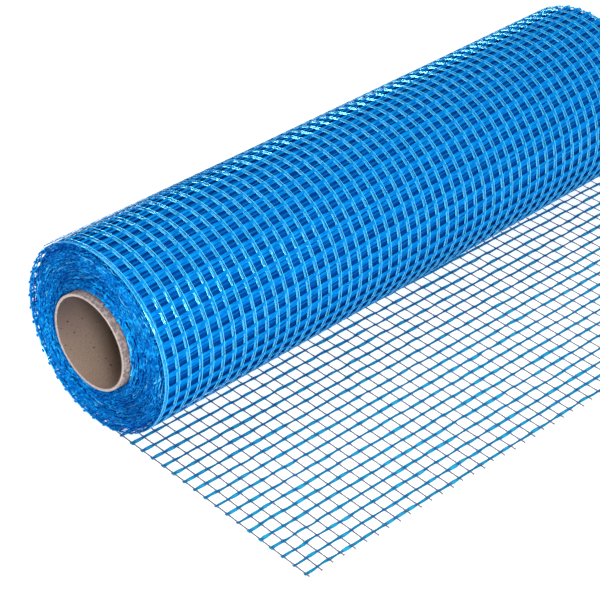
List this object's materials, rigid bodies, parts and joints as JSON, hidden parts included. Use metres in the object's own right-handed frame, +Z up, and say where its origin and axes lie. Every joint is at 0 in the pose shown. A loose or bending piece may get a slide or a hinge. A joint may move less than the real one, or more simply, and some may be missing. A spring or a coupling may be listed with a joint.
{
  "type": "roll of fiberglass mesh",
  "caption": "Roll of blue open-weave fiberglass mesh wound on a cardboard core, lying on its side with the free end of the sheet unrolled flat in front of it.",
  "frame": {"origin": "on the floor, at the middle of the bounding box", "axes": "+X along the roll's axis, away from the end the picture shows, -Y towards the cut edge of the unrolled sheet, +Z up"},
  "size_m": [0.515, 0.279, 0.141],
  "materials": {
    "cardboard": "matt grey-brown spiral-wound card with pale cut rims",
    "coated_yarn": "glossy bright blue alkali-proof coating on woven glass yarns, open between the yarns"
  },
  "bodies": {
    "root": {"cardboard_core": "cardboard", "mesh_roll": "coated_yarn", "unrolled_mesh": "coated_yarn"}
  },
  "joints": []
}
